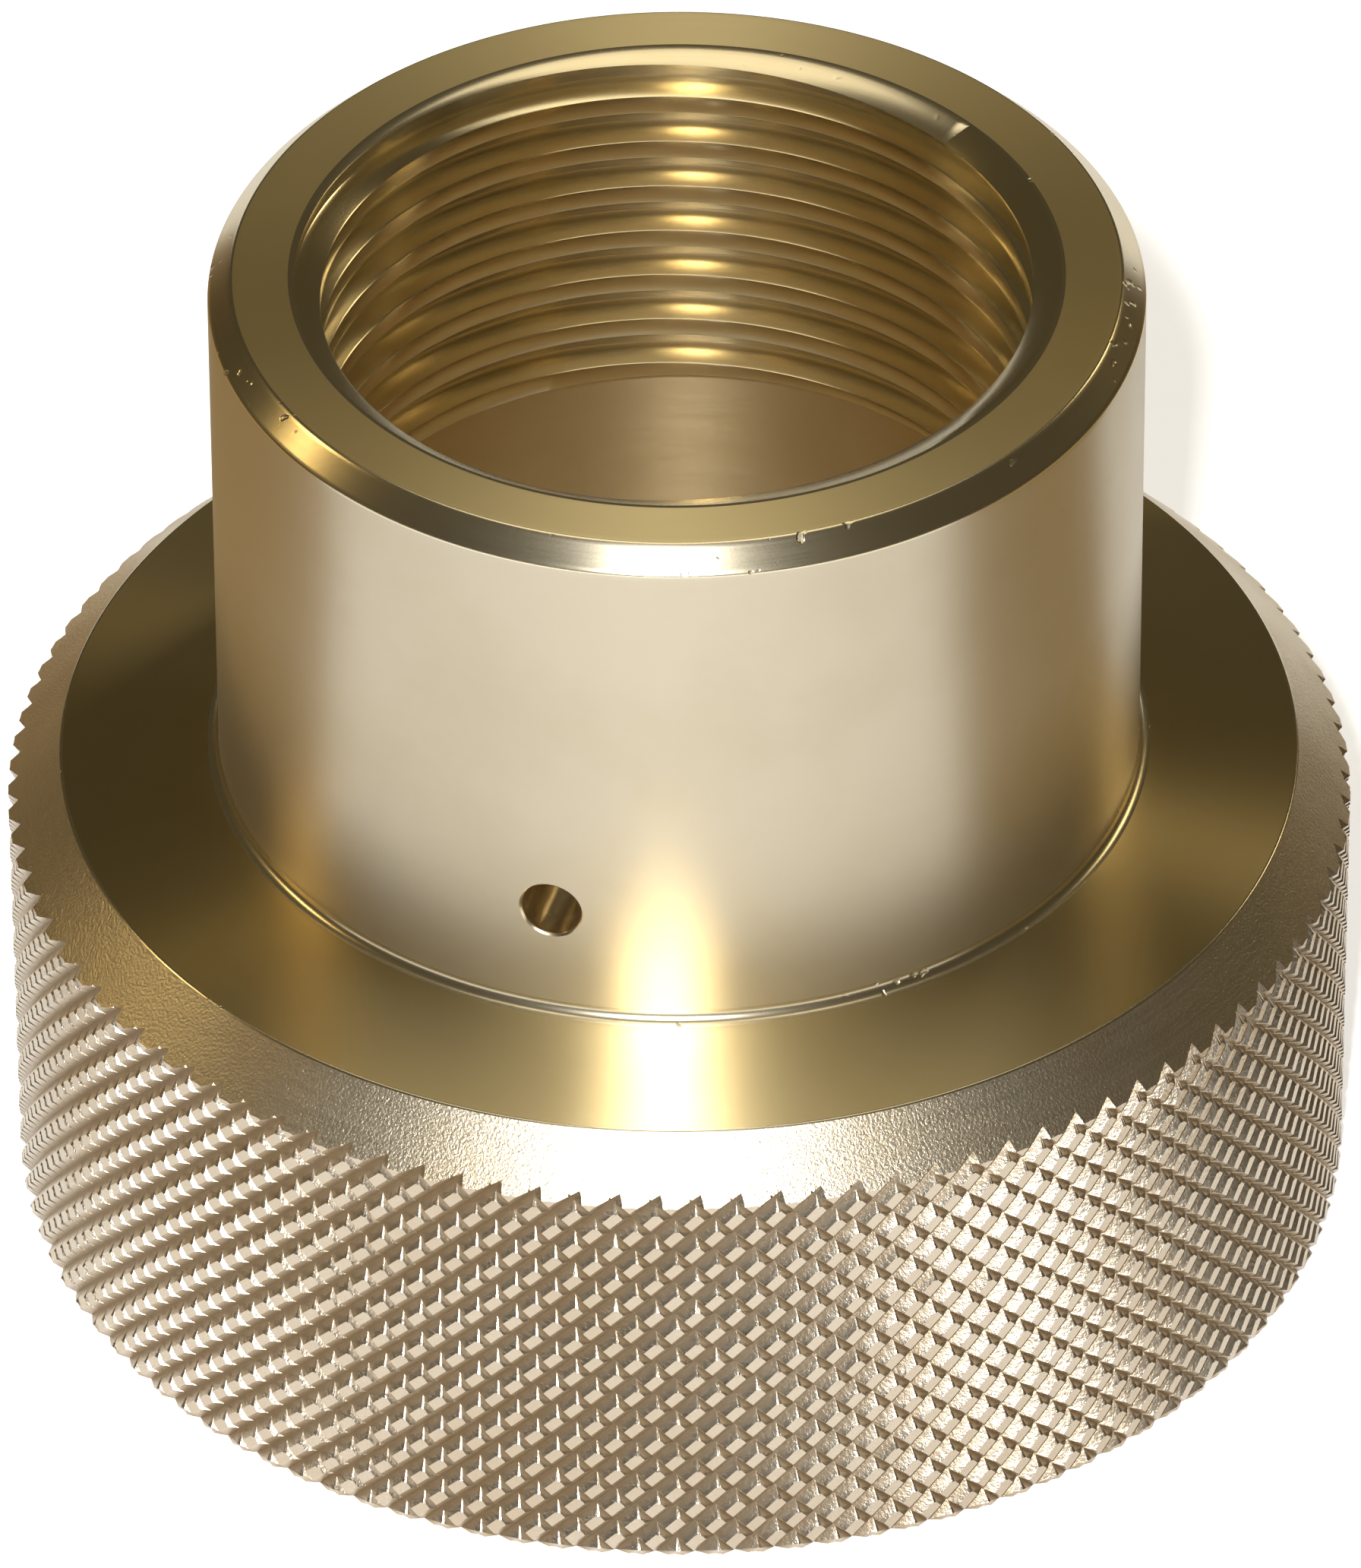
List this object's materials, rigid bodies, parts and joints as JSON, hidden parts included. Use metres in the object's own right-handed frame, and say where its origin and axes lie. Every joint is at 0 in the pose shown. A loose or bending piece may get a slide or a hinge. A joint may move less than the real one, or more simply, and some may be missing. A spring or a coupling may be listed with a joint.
{
  "type": "knurled thumb nut",
  "caption": "Turned brass thumb nut: a threaded neck with a cross hole stands on a wide diamond-knurled ring with a plain bore.",
  "frame": {"origin": "centre of the underside, on the axis of the bore", "axes": "+Z along the axis towards the threaded neck; the cross hole in the neck wall is drilled along -Y"},
  "size_m": [0.0732, 0.0732, 0.0587],
  "materials": {
    "brass": "turned satin with a bright knurl"
  },
  "bodies": {
    "root": {"knurled_nut": "brass"}
  },
  "joints": []
}
